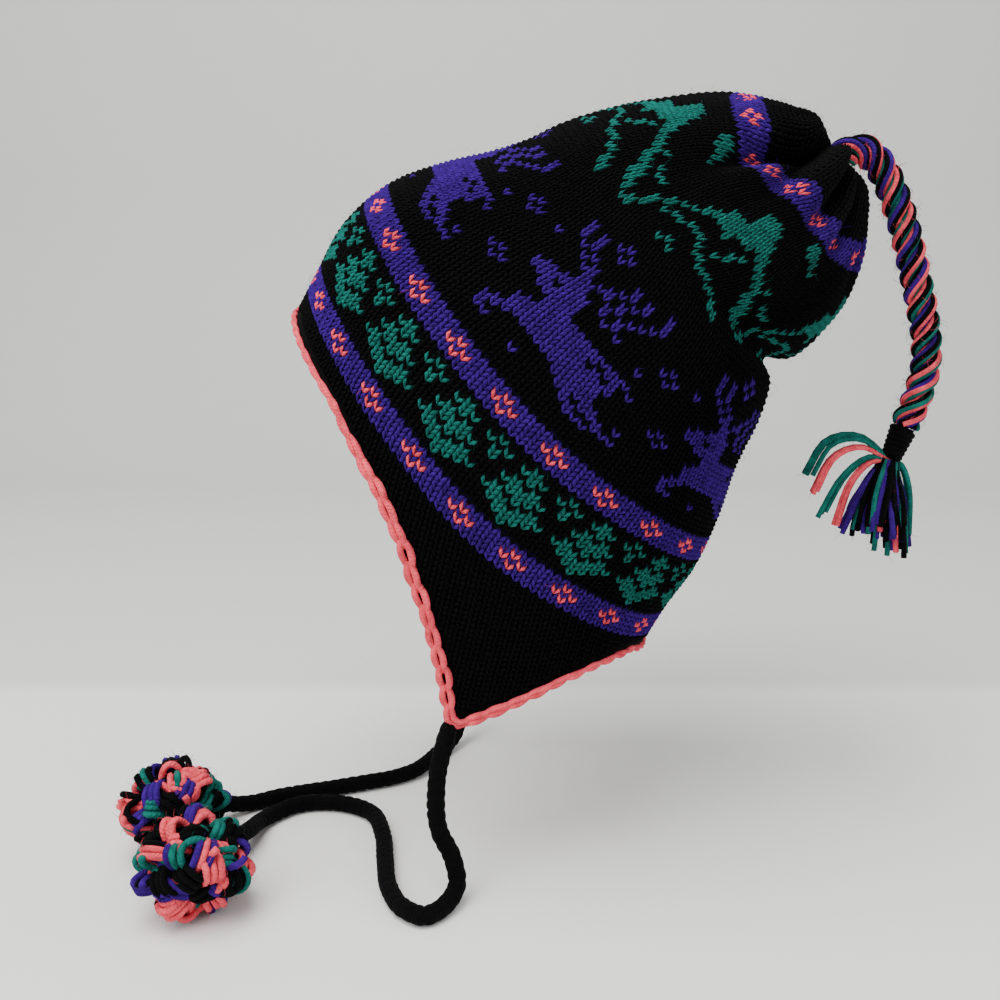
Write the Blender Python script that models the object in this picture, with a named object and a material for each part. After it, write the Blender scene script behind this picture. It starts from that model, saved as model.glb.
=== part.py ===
"""Chullo hat: a fair-isle knitted cap with ear flaps, a crochet edge, ties with pompoms and a tasselled top cord.

Metres, +Z up. The face looks along -Y and the wearer's left is +X.
The origin is inside the cap where the crown of a head touches it.
"""

import math

import bmesh
import bpy
import numpy as np
from mathutils import Vector

MM = 0.001

# Knitted shell
RIM_LONG = 195 * MM  # forehead to nape, along the rim
HEAD_WIDTH = 152 * MM  # ear to ear, outside
CROWN_LONG = 189 * MM  # middle of the rim to the gathered top
CROWN_RISE = math.radians(42.4)  # how far the cap's long line climbs above level
RIM_MIDDLE = (3.5 * MM, -120.8 * MM)  # Y and Z of the rim's middle
WALL = 3 * MM  # knitted fabric with its floats
ROWS = 95  # knitted rows from the rim to the gathered top
RIM_ROWS = 3  # plain rows between the rim and the lowest stripe
ROW_DIP = 11 * MM  # how far a row's sides hang towards the rim
SECTION_POWER = 0.94  # 1 is an ellipse, less is squarer

# Rows of the shell's outline in the middle plane. Up is a share of CROWN_LONG, out and width are shares of
# half RIM_LONG and half HEAD_WIDTH, dip is a share of ROW_DIP.
SECTION_COLUMNS = ("row", "front_up", "front_out", "back_up", "back_out", "width", "dip")
SECTIONS = (
    (0, -0.032, 1.00, 0.031, 1.00, 0.98, 1.00),
    (6, 0.046, 1.05, 0.109, 0.95, 1.00, 1.00),
    (14, 0.148, 1.11, 0.214, 0.90, 1.02, 1.00),
    (23, 0.273, 1.10, 0.324, 0.80, 1.03, 1.00),
    (31, 0.376, 1.02, 0.418, 0.69, 1.01, 0.90),
    (40, 0.487, 0.90, 0.530, 0.59, 0.97, 0.80),
    (45, 0.546, 0.85, 0.583, 0.52, 0.94, 0.70),
    (50, 0.611, 0.81, 0.608, 0.45, 0.91, 0.60),
    (56, 0.688, 0.74, 0.657, 0.50, 0.88, 0.50),
    (64, 0.775, 0.64, 0.743, 0.50, 0.81, 0.40),
    (74, 0.890, 0.47, 0.834, 0.45, 0.67, 0.30),
    (82, 0.953, 0.31, 0.920, 0.34, 0.48, 0.20),
    (89, 0.990, 0.16, 0.978, 0.19, 0.27, 0.10),
    (95, 0.978, -0.04, 0.978, 0.04, 0.00, 0.00),
)
CROWN_ROWS = (
    3, 8, 14, 19, 24, 30, 36, 41, 45, 48, 50, 52, 55, 59, 64, 69, 74, 78, 82, 86, 89.5, 92, 94.2,
)
COLUMNS_AROUND = 64
TOP_DIMPLE = 0.4 * MM  # how far the middle of the gathered top stands past its last ring
CREASES_INSIDE = 0.8  # share of a crease's depth that shows on the inner face
PLEATS_INSIDE = 0.2  # share of a pleat's height that shows there
FLAP_STEPS = 4  # rings between the rim and the lowest stripe

# Lengthwise pleats at the gathered top, and the deeper creases between them
PLEATS = 9
PLEAT_HEIGHT = 2.4 * MM
PLEAT_ROWS = (64, 86, 95)  # rows where the pleats start, stand highest and end
CREASE_DEPTH = 8 * MM
CREASE_COLUMNS = ("around", "drift", "first_row", "last_row", "depth", "spread")
CREASES = (
    (0.176, 0.05, 54, 94, 1.00, 0.024),
    (0.244, -0.13, 58, 93, 0.85, 0.024),
    (0.330, -0.03, 62, 94, 0.70, 0.024),
    (0.415, 0.02, 64, 93, 0.55, 0.028),
    (0.640, -0.02, 66, 94, 0.70, 0.028),
    (0.735, 0.06, 60, 93, 0.85, 0.024),
    (0.815, -0.03, 56, 94, 0.90, 0.024),
    (0.930, 0.02, 66, 94, 0.50, 0.028),
)
WAIST_ROW = 50  # row of the fold under the slouching top
WAIST_FOLD = 3 * MM
WAIST_SPREAD = 2.6  # rows

# Ear flaps
FLAP_LONG = 62 * MM
FLAP_LEAN = math.radians(14.5)  # forward of straight down
FLAP_PINCH = 9 * MM  # how far the tip turns in towards the jaw
FLAP_TIP_AT = 18 / COLUMNS_AROUND  # share of the way round from the forehead
# Way round from the forehead, and the share of FLAP_LONG by which the rim hangs there
FLAP_EDGE = (
    (0.150, 0.00), (0.200, 0.13), (0.225, 0.26), (0.250, 0.51), (0.266, 0.74), (FLAP_TIP_AT, 1.00),
    (0.297, 0.83), (0.325, 0.55), (0.350, 0.33), (0.375, 0.17), (0.400, 0.06), (0.425, 0.00),
)

# Crochet edge
EDGE_DROP = 4.5 * MM
EDGE_SWELL = 0.8 * MM  # past the fabric on either face
EDGE_BELLY = 0.45  # where the swell is widest, as a share of EDGE_DROP
EDGE_FOOT = 0.25  # how far the foot draws in from either face, as a share of the wall
GAP = 0.3 * MM

# Ties with pompoms
FLOOR = -273.7 * MM  # level on which the ties' ends lie
TIE_DIAMETER = 7 * MM
TIE_STEP = 2  # diameters between the tube's points
POMPOM_RADIUS = 22 * MM
POMPOM_SEAT = 0.78  # radius at the tie, as a share of POMPOM_RADIUS
POMPOM_SEAT_COSINE = 0.8  # cosine of the seat's half angle
POMPOM_LOCKS = 30
POMPOM_VALLEY = 0.80  # radius between the locks, as a share of POMPOM_RADIUS
LOCK_SHARPNESS = 16
POMPOM_FACES = 0.7  # share of the fine sphere's faces that is kept
POMPOM_LEFT = (80 * MM, -101 * MM, FLOOR + POMPOM_RADIUS)
POMPOM_RIGHT = (37 * MM, -121 * MM, FLOOR + POMPOM_RADIUS)
TIE_LIE = FLOOR + 0.55 * TIE_DIAMETER
TIE_LEFT_ROUTE = (
    (0.0690, -0.0118, -0.2282), (0.0700, -0.0110, -0.2462), (0.0705, -0.0058, -0.2582),
    (0.0742, -0.0042, -0.2662), (0.0823, -0.0084, TIE_LIE), (0.0890, -0.0158, TIE_LIE),
    (0.0840, -0.0238, TIE_LIE), (0.0724, -0.0298, TIE_LIE), (0.0510, -0.0339, TIE_LIE),
    (0.0317, -0.0368, TIE_LIE), (0.0120, -0.0445, TIE_LIE), (0.0040, -0.0588, TIE_LIE),
    (0.0050, -0.0765, TIE_LIE), (0.0170, -0.0885, TIE_LIE), (0.0380, -0.0920, -0.2647),
)
TIE_RIGHT_ROUTE = (
    (-0.0690, -0.0103, -0.2282), (-0.0700, -0.0095, -0.2442), (-0.0695, -0.0080, -0.2572),
    (-0.0650, -0.0095, -0.2662), (-0.0570, -0.0135, TIE_LIE), (-0.0480, -0.0180, TIE_LIE),
    (-0.0375, -0.0225, TIE_LIE), (-0.0275, -0.0285, TIE_LIE), (-0.0205, -0.0380, TIE_LIE),
    (-0.0160, -0.0490, TIE_LIE), (-0.0115, -0.0610, TIE_LIE), (-0.0070, -0.0740, TIE_LIE),
    (-0.0020, -0.0870, TIE_LIE), (0.0040, -0.0985, TIE_LIE), (0.0120, -0.1075, -0.2662),
)

# Top cord, its binding and tassel
TOP_CORD_DIAMETER = 12 * MM
TOP_CORD_SEAT = 4.2 * MM  # above the gathered top's dimple
TOP_CORD_ROUTE = (
    (0, 0.1493, 0.0064), (0, 0.1545, 0.0066), (0, 0.1598, 0.0028), (0, 0.1650, -0.0047),
    (0, 0.1695, -0.0142), (0, 0.1739, -0.0257), (0, 0.1781, -0.0394), (0, 0.1821, -0.0532),
    (0, 0.1853, -0.0672), (0, 0.1858, -0.0794), (0, 0.1832, -0.0917), (0, 0.1795, -0.1020),
)
BINDING_LONG = 15 * MM
BINDING_TOP = 11 * MM  # diameter
BINDING_FOOT = 8.5 * MM
BINDING_TURNS = 5
BINDING_SIDES = 12
TASSEL_LONG = 35 * MM
TASSEL_SPREAD = 36 * MM  # diameter at the cut ends
TASSEL_LOCKS = 11
TASSEL_RINGS = (0, 0.12, 0.3, 0.5, 0.7, 0.87, 1)  # shares of TASSEL_LONG
TASSEL_PARTING = 0.28  # how deep the locks part at the cut ends, as a share of the radius
TASSEL_LINE = (0, 0.0, -1.0)  # direction in which the tassel hangs

BLACK = (0.006, 0.006, 0.008)
CORAL = (0.87, 0.16, 0.17)
PURPLE = (0.06, 0.03, 0.35)
YARN_ROUGHNESS = 0.9


def material(name, colour):
    """Spun acrylic yarn of one colour."""
    made = bpy.data.materials.new(name)
    made.use_nodes = True
    surface = made.node_tree.nodes["Principled BSDF"]
    surface.inputs["Base Color"].default_value = (*colour, 1)
    surface.inputs["Roughness"].default_value = YARN_ROUGHNESS
    surface.inputs["Metallic"].default_value = 0
    return made


def add_object(name, mesh, finish):
    """Put one finished mesh in the scene as a named piece."""
    mesh.materials.append(finish)
    piece = bpy.data.objects.new(name, mesh)
    bpy.context.scene.collection.objects.link(piece)
    return piece


def closed_mesh(name, points, faces):
    """Make a mesh of points and faces, with its faces turned outwards."""
    mesh = bpy.data.meshes.new(name)
    mesh.from_pydata([tuple(point) for point in points], [], faces)
    work = bmesh.new()
    work.from_mesh(mesh)
    bmesh.ops.recalc_face_normals(work, faces=work.faces)
    work.to_mesh(mesh)
    work.free()
    mesh.shade_smooth()
    mesh.set_sharp_from_angle(angle=math.radians(50))
    return mesh


def smooth(at, knots, values):
    """Cubic curve through the knots, with slopes taken from each knot's two neighbours."""
    knots = np.asarray(knots, float)
    values = np.asarray(values, float)
    slopes = np.gradient(values, knots)
    at = np.clip(np.asarray(at, float), knots[0], knots[-1])
    left = np.clip(np.searchsorted(knots, at, side="right") - 1, 0, len(knots) - 2)
    span = knots[left + 1] - knots[left]
    share = (at - knots[left]) / span
    return (
        values[left] * (1 + 2 * share) * (1 - share) ** 2
        + slopes[left] * span * share * (1 - share) ** 2
        + values[left + 1] * share**2 * (3 - 2 * share)
        + slopes[left + 1] * span * share**2 * (share - 1)
    )


def section(column, row):
    """One column of the table of sections at any row."""
    place = SECTION_COLUMNS.index(column)
    return smooth(row, [line[0] for line in SECTIONS], [line[place] for line in SECTIONS])


def power_wave(wave, power):
    """Keep a sine or cosine's sign while making its curve squarer."""
    return np.sign(wave) * np.abs(wave) ** power


def base_surface(around, row):
    """The shell without its pleats: a squarish ellipse round the cap's long line at each row.

    Each row's loop runs through a front and a back point of the outline, and its sides dip to the rim.
    """
    angle = 2 * math.pi * around
    across = power_wave(np.cos(angle), SECTION_POWER)
    side = power_wave(np.sin(angle), SECTION_POWER)
    front_up = section("front_up", row) * CROWN_LONG
    back_up = section("back_up", row) * CROWN_LONG
    front_out = -section("front_out", row) * RIM_LONG / 2
    back_out = section("back_out", row) * RIM_LONG / 2
    up = (front_up + back_up) / 2 + (front_up - back_up) / 2 * across
    up = up - section("dip", row) * ROW_DIP * np.sin(angle) ** 2
    out = (front_out + back_out) / 2 + (front_out - back_out) / 2 * across
    wide = np.maximum(section("width", row) * HEAD_WIDTH / 2, 0)
    rise, run = math.sin(CROWN_RISE), math.cos(CROWN_RISE)
    return np.stack(
        [wide * side, RIM_MIDDLE[0] + run * up + rise * out, RIM_MIDDLE[1] + rise * up - run * out], axis=-1
    )


def bump(share):
    """A smooth hill that is 1 at 0 and 0 at 1 and past it."""
    return np.cos(np.clip(np.abs(share), 0, 1) * math.pi / 2) ** 2


def relief(around, row):
    """How far the gathered fabric stands out of the smooth shell: pleats, less the creases."""
    start, top, end = PLEAT_ROWS
    swell = np.where(row < top, bump((row - top) / (top - start)), bump((row - top) / (end - top)))
    height = PLEAT_HEIGHT * swell * np.cos(2 * math.pi * PLEATS * around)
    for crease in CREASES:
        line = dict(zip(CREASE_COLUMNS, crease))
        middle_row = (line["first_row"] + 2 * line["last_row"]) / 3
        reach = np.where(
            row < middle_row,
            bump((row - middle_row) / (middle_row - line["first_row"])),
            bump((row - middle_row) / (line["last_row"] - middle_row)),
        )
        wander = line["around"] + line["drift"] * (row - line["first_row"]) / ROWS
        near = (around - wander + 0.5) % 1 - 0.5
        height = height - line["depth"] * CREASE_DEPTH * reach * np.exp(-((near / line["spread"]) ** 2))
    narrow = np.clip((ROWS - row) / (ROWS - top), 0, 1)
    height = height * narrow
    back = np.maximum(-np.cos(2 * math.pi * around), 0) ** 3
    return height - WAIST_FOLD * back * np.exp(-(((row - WAIST_ROW) / WAIST_SPREAD) ** 2))


def flap_drop(around):
    """Share of the flap's length by which the rim hangs down, the same on both sides."""
    mirrored = np.minimum(around % 1, 1 - around % 1)
    return np.interp(mirrored, [line[0] for line in FLAP_EDGE], [line[1] for line in FLAP_EDGE])


def shell_grid():
    """Points of the smooth outer shell, ring by ring from the rim to the top, and each ring's height share."""
    around = np.arange(COLUMNS_AROUND) / COLUMNS_AROUND
    rim = base_surface(around, np.zeros(COLUMNS_AROUND))
    foot = base_surface(around, np.full(COLUMNS_AROUND, float(RIM_ROWS)))
    drop = flap_drop(around)
    rim[:, 1] -= drop * FLAP_LONG * math.sin(FLAP_LEAN)
    rim[:, 2] -= drop * FLAP_LONG * math.cos(FLAP_LEAN)
    rim[:, 0] -= np.sign(rim[:, 0]) * drop**1.5 * FLAP_PINCH
    rings = []
    for step in range(FLAP_STEPS):
        share = 1 - step / FLAP_STEPS
        ring = foot + (rim - foot) * share
        ring[:, 0] = foot[:, 0] + (rim[:, 0] - foot[:, 0]) * share**1.5
        rings.append(ring)
    rows = np.array(CROWN_ROWS, float)[:, None] + 0 * around[None, :]
    grid = np.concatenate([np.array(rings), base_surface(around[None, :] + 0 * rows, rows)])
    heights = np.concatenate([np.zeros((FLAP_STEPS, COLUMNS_AROUND)), relief(around[None, :] + 0 * rows, rows)])
    return grid, heights


def grid_normals(grid):
    """Outward directions of a ring grid, from the differences between neighbouring points."""
    along = np.roll(grid, -1, axis=1) - np.roll(grid, 1, axis=1)
    up = np.gradient(grid, axis=0)
    normal = np.cross(along, up)
    return normal / np.linalg.norm(normal, axis=2, keepdims=True)


def pole(grid, lift):
    """Point that closes the last ring, a little beyond its middle."""
    line = np.array([0, math.cos(CROWN_RISE), math.sin(CROWN_RISE)])
    return grid[-1].mean(axis=0) + line * lift


def shell_surfaces():
    """Outer and inner surface of the knitted shell."""
    grid, heights = shell_grid()
    normals = grid_normals(grid)
    outer = grid + normals * heights[..., None]
    inside = np.where(heights < 0, heights * CREASES_INSIDE, heights * PLEATS_INSIDE)
    inner = grid + normals * (inside - WALL)[..., None]
    return outer, inner


def grid_faces(rings, columns, start=0):
    """Quads of a ring grid that closes on itself sideways."""
    faces = []
    for ring in range(rings - 1):
        for column in range(columns):
            after = (column + 1) % columns
            low, high = start + ring * columns, start + (ring + 1) * columns
            faces.append((low + column, low + after, high + after, high + column))
    return faces


def build_crown(finish):
    """Knitted shell with its two ear flaps: an outer and an inner surface joined along the rim."""
    outer, inner = shell_surfaces()
    rings, columns = outer.shape[:2]
    count = rings * columns
    points = np.concatenate([outer.reshape(-1, 3), inner.reshape(-1, 3)])
    points = np.concatenate([points, [pole(outer, TOP_DIMPLE)], [pole(inner, TOP_DIMPLE)]])
    faces = grid_faces(rings, columns) + [face[::-1] for face in grid_faces(rings, columns, count)]
    for column in range(columns):
        after = (column + 1) % columns
        faces.append((column, count + column, count + after, after))
        last = count - columns
        faces.append((last + column, last + after, 2 * count))
        faces.append((count + last + after, count + last + column, 2 * count + 1))
    return add_object("crown", closed_mesh("crown", points, faces), finish)


def edge_frame():
    """Rim points of the shell's two faces, with the ways out of the cloth and away from its edge."""
    outer, inner = shell_surfaces()
    middle = (outer[0] + inner[0]) / 2
    along = np.roll(middle, -1, axis=0) - np.roll(middle, 1, axis=0)
    along /= np.linalg.norm(along, axis=1, keepdims=True)
    thick = outer[0] - inner[0]
    thick /= np.linalg.norm(thick, axis=1, keepdims=True)
    away = np.cross(thick, along)
    away /= np.linalg.norm(away, axis=1, keepdims=True)
    fabric = (outer[0] - outer[1])
    away *= np.sign((away * fabric).sum(axis=1, keepdims=True))
    return outer[0], inner[0], thick, away


def build_edging(finish):
    """Crochet chain edge: a six-sided band carried round the rim, a gap away from the cloth."""
    outer, inner, thick, away = edge_frame()
    sections = np.stack(
        [
            outer + away * GAP,
            outer + thick * EDGE_SWELL + away * (GAP + EDGE_DROP * EDGE_BELLY),
            outer + (inner - outer) * EDGE_FOOT + away * (GAP + EDGE_DROP),
            inner + (outer - inner) * EDGE_FOOT + away * (GAP + EDGE_DROP),
            inner - thick * EDGE_SWELL + away * (GAP + EDGE_DROP * EDGE_BELLY),
            inner + away * GAP,
        ]
    )
    sides, columns = sections.shape[:2]
    faces = grid_faces(sides, columns)
    for column in range(columns):
        after = (column + 1) % columns
        last = (sides - 1) * columns
        faces.append((last + column, last + after, after, column))
    return add_object("edging", closed_mesh("edging", sections.reshape(-1, 3), faces), finish)


def flap_tip(side):
    """Lowest point of a flap's crochet edge: side is 1 for the left ear and -1 for the right."""
    outer, inner, _, away = edge_frame()
    column = round(FLAP_TIP_AT * COLUMNS_AROUND)
    column = column if side > 0 else COLUMNS_AROUND - column
    return (outer[column] + inner[column]) / 2 + away[column] * (GAP + EDGE_DROP)


def smooth_route(points, step):
    """Points a step apart on one smooth curve through a cord's chosen points."""
    points = np.array(points, float)
    lengths = np.linalg.norm(np.diff(points, axis=0), axis=1)
    knots = np.concatenate([[0], np.cumsum(lengths)])
    count = max(4, round(knots[-1] / step) + 1)
    at = np.linspace(0, knots[-1], count)
    return np.stack([smooth(at, knots, points[:, axis]) for axis in range(3)], axis=1)


def build_cord(name, route, diameter, finish):
    """Round cord: a poly curve with a bevel and filled ends."""
    data = bpy.data.curves.new(name, "CURVE")
    data.dimensions = "3D"
    data.bevel_depth = diameter / 2
    data.bevel_resolution = 3
    data.use_fill_caps = True
    spline = data.splines.new("POLY")
    path = smooth_route(route, TIE_STEP * TIE_DIAMETER)
    spline.points.add(len(path) - 1)
    for place, point in zip(spline.points, path):
        place.co = (*point, 1)
    data.materials.append(finish)
    piece = bpy.data.objects.new(name, data)
    bpy.context.scene.collection.objects.link(piece)
    return piece


def spread_directions(count):
    """Unit directions spread evenly over a sphere along a golden spiral."""
    turn = np.arange(count) * math.pi * (3 - math.sqrt(5))
    height = 1 - 2 * (np.arange(count) + 0.5) / count
    ring = np.sqrt(1 - height**2)
    return np.stack([ring * np.cos(turn), ring * np.sin(turn), height], axis=1)


def build_pompom(name, centre, tie_end, finish):
    """Yarn ball: a head whose surface rises into round locks, with a seat for the tie."""
    work = bmesh.new()
    bmesh.ops.create_icosphere(work, subdivisions=4, radius=1)
    points = np.array([vertex.co[:] for vertex in work.verts])
    points /= np.linalg.norm(points, axis=1, keepdims=True)
    closeness = (points @ spread_directions(POMPOM_LOCKS).T).max(axis=1)
    share = POMPOM_VALLEY + (1 - POMPOM_VALLEY) * np.exp(-LOCK_SHARPNESS * (1 - closeness))
    toward = np.array(tie_end) - np.array(centre)
    toward /= np.linalg.norm(toward)
    facing = np.clip((points @ toward - POMPOM_SEAT_COSINE) / (1 - POMPOM_SEAT_COSINE) * 1.6, 0, 1)
    share = share * (1 - facing) + POMPOM_SEAT * facing
    placed = np.array(centre) + points * (share * POMPOM_RADIUS)[:, None]
    for vertex, place in zip(work.verts, placed):
        vertex.co = place
    mesh = bpy.data.meshes.new(name)
    work.to_mesh(mesh)
    work.free()
    pompom = add_object(name, mesh, finish)
    thin = pompom.modifiers.new("fewer faces", "DECIMATE")
    thin.ratio = POMPOM_FACES
    return pompom


def pompom_seat(centre, last_point):
    """Place where a tie ends: on the pompom's seat, facing the tie's last chosen point."""
    centre = np.array(centre)
    toward = np.array(last_point) - centre
    toward /= np.linalg.norm(toward)
    return tuple(centre + toward * (POMPOM_RADIUS * POMPOM_SEAT + 1.5 * GAP))


def ring_stack(name, rings, finish):
    """Closed solid through a stack of equal rings, with a fan at each end."""
    rings = np.array(rings)
    count, columns = rings.shape[:2]
    points = np.concatenate([rings.reshape(-1, 3), [rings[0].mean(axis=0)], [rings[-1].mean(axis=0)]])
    faces = grid_faces(count, columns)
    top, foot = count * columns, count * columns + 1
    for column in range(columns):
        after = (column + 1) % columns
        faces.append((after, column, top))
        faces.append(((count - 1) * columns + column, (count - 1) * columns + after, foot))
    return add_object(name, closed_mesh(name, points, faces), finish)


def hanging_frame(line):
    """Unit direction of a hanging piece and two directions square to it."""
    line = Vector(line).normalized()
    side = Vector((1, 0, 0))
    return np.array(line), np.array(side), np.array(line.cross(side))


def build_binding(start, line, finish):
    """Yarn wound round the cord's end: a taper with one round rib for each turn."""
    line, side, other = hanging_frame(line)
    rings = []
    steps = BINDING_TURNS * 3
    angles = 2 * math.pi * np.arange(BINDING_SIDES) / BINDING_SIDES
    for step in range(steps + 1):
        share = step / steps
        rib = 0.94 + 0.06 * abs(math.sin(math.pi * BINDING_TURNS * share))
        radius = (BINDING_TOP + (BINDING_FOOT - BINDING_TOP) * share) / 2 * rib
        middle = start + line * BINDING_LONG * share
        rings.append(middle + radius * (np.cos(angles)[:, None] * side + np.sin(angles)[:, None] * other))
    ring_stack("cord_binding", rings, finish)
    return start + line * BINDING_LONG


def build_tassel(start, start_line, finish):
    """Cut yarn ends: locks that part as they spread below the binding, each cut at its own length."""
    columns = TASSEL_LOCKS * 5
    angles = 2 * math.pi * np.arange(columns) / columns
    lock = np.abs(np.sin(TASSEL_LOCKS * angles / 2))
    cut = 1 + 0.06 * np.sin(3 * angles) + 0.05 * np.cos(5 * angles)
    rings = []
    middle = np.array(start)
    before = 0
    for share in TASSEL_RINGS:
        line, side, other = hanging_frame(Vector(start_line).lerp(Vector(TASSEL_LINE).normalized(), share**0.3))
        middle = middle + line * TASSEL_LONG * (share - before)
        before = share
        spread = BINDING_FOOT / 2 + (TASSEL_SPREAD - BINDING_FOOT) / 2 * math.sin(share * math.pi / 2) ** 1.3
        radius = spread * (1 - TASSEL_PARTING * share * (1 - lock))
        deep = TASSEL_LONG * share * ((cut - 1) * share - 0.10 * share * (1 - lock))
        ring = middle + deep[:, None] * line
        rings.append(ring + radius[:, None] * (np.cos(angles)[:, None] * side + np.sin(angles)[:, None] * other))
    ring_stack("tassel", rings, finish)


def main():
    for old in list(bpy.data.objects):
        bpy.data.objects.remove(old, do_unlink=True)
    black = material("black knitted yarn", BLACK)
    coral = material("coral crochet yarn", CORAL)
    purple = material("mixed purple yarn", PURPLE)

    build_crown(black)
    build_edging(coral)

    sides = (
        ("left", 1, TIE_LEFT_ROUTE, POMPOM_LEFT),
        ("right", -1, TIE_RIGHT_ROUTE, POMPOM_RIGHT),
    )
    for side, sign, route, centre in sides:
        start = flap_tip(sign)
        start[2] -= GAP * 2
        end = pompom_seat(centre, route[-1])
        build_cord("tie_" + side, [start, *route, end], TIE_DIAMETER, black)
        build_pompom("pompom_" + side, centre, end, coral)

    outer, _ = shell_surfaces()
    top = pole(outer, TOP_CORD_SEAT)
    build_cord("top_cord", [top, *TOP_CORD_ROUTE], TOP_CORD_DIAMETER, purple)
    cord_end = np.array(TOP_CORD_ROUTE[-1])
    cord_way = cord_end - np.array(TOP_CORD_ROUTE[-2])
    cord_way /= np.linalg.norm(cord_way)
    binding_foot = build_binding(cord_end + cord_way * GAP, cord_way, black)
    build_tassel(binding_foot + cord_way * GAP, cord_way, purple)


main()
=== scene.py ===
"""Looks of the knitted chullo hat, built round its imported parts.

Metres, +Z up. The face looks along -Y and the wearer's left is +X.
Knitted places are counted in stitches round the cap, from the forehead towards the left ear, and in rows up
from the rim.
"""

import math

import bmesh
import bpy
import numpy as np
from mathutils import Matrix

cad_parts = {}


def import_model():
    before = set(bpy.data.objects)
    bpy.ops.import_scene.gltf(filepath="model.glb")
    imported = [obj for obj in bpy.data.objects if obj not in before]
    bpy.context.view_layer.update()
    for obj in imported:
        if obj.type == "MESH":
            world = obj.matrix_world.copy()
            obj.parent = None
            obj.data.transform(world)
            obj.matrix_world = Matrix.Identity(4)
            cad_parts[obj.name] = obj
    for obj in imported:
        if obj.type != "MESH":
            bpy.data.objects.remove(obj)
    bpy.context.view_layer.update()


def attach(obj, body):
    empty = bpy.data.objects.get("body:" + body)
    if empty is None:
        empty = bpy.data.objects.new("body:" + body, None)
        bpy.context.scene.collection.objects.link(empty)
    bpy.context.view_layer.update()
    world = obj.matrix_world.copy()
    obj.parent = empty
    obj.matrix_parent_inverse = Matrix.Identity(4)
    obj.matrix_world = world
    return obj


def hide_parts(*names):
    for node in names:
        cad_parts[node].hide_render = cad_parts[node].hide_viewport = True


MM = 0.001
GOLDEN_TURN = math.pi * (3 - math.sqrt(5))

# Knitted shell, as the parts have it: the table of sections has shares of these lengths
RIM_LONG = 195 * MM
HEAD_WIDTH = 152 * MM
CROWN_LONG = 189 * MM
CROWN_RISE = math.radians(42.4)
RIM_MIDDLE = (3.5 * MM, -120.8 * MM)  # Y and Z
WALL = 3 * MM
SHAPE_ROWS = 95  # rows of the table of sections
ROW_DIP = 11 * MM
SECTION_POWER = 0.94
SECTION_COLUMNS = ("row", "front_up", "front_out", "back_up", "back_out", "width", "dip")
SECTIONS = (
    (0, -0.032, 1.00, 0.031, 1.00, 0.98, 1.00),
    (6, 0.046, 1.05, 0.109, 0.95, 1.00, 1.00),
    (14, 0.148, 1.11, 0.214, 0.90, 1.02, 1.00),
    (23, 0.273, 1.10, 0.324, 0.80, 1.03, 1.00),
    (31, 0.376, 1.02, 0.418, 0.69, 1.01, 0.90),
    (40, 0.487, 0.90, 0.530, 0.59, 0.97, 0.80),
    (45, 0.546, 0.85, 0.583, 0.52, 0.94, 0.70),
    (50, 0.611, 0.81, 0.608, 0.45, 0.91, 0.60),
    (56, 0.688, 0.74, 0.657, 0.50, 0.88, 0.50),
    (64, 0.775, 0.64, 0.743, 0.50, 0.81, 0.40),
    (74, 0.890, 0.47, 0.834, 0.45, 0.67, 0.30),
    (82, 0.953, 0.31, 0.920, 0.34, 0.48, 0.20),
    (89, 0.990, 0.16, 0.978, 0.19, 0.27, 0.10),
    (95, 0.978, -0.04, 0.978, 0.04, 0.00, 0.00),
)
PLEATS = 9
PLEAT_HEIGHT = 2.4 * MM
PLEAT_ROWS = (64, 86, 95)
CREASE_DEPTH = 8 * MM
CREASE_COLUMNS = ("around", "drift", "first_row", "last_row", "depth", "spread")
# A crease of negative depth is a ridge between two others.
CREASES = (
    (0.176, 0.05, 54, 94, 1.40, 0.016),
    (0.244, -0.13, 58, 93, 1.10, 0.017),
    (0.284, -0.02, 62, 92, 0.55, 0.014),
    (0.150, 0.02, 58, 94, -0.35, 0.022),
    (0.250, -0.02, 60, 94, -0.50, 0.020),
    (0.306, -0.02, 62, 94, -0.35, 0.017),
    (0.370, 0.00, 62, 94, -0.25, 0.025),
    (0.330, -0.03, 62, 94, 0.85, 0.017),
    (0.415, 0.02, 64, 93, 0.55, 0.028),
    (0.640, -0.02, 66, 94, 0.70, 0.028),
    (0.735, 0.06, 60, 93, 0.85, 0.022),
    (0.815, -0.03, 56, 94, 0.90, 0.022),
    (0.930, 0.02, 66, 94, 0.50, 0.028),
)
WAIST_ROW = 50
WAIST_FOLD = 3 * MM
WAIST_SPREAD = 2.6  # rows
FLAP_LONG = 62 * MM
FLAP_LEAN = math.radians(14.5)
FLAP_PINCH = 9 * MM
FLAP_TIP_AT = 18 / 64
FLAP_EDGE = (
    (0.150, 0.00), (0.200, 0.13), (0.225, 0.26), (0.250, 0.51), (0.266, 0.74), (FLAP_TIP_AT, 1.00),
    (0.297, 0.83), (0.325, 0.55), (0.350, 0.33), (0.375, 0.17), (0.400, 0.06), (0.425, 0.00),
)
EDGE_DROP = 4.5 * MM
GAP = 0.3 * MM

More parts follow.
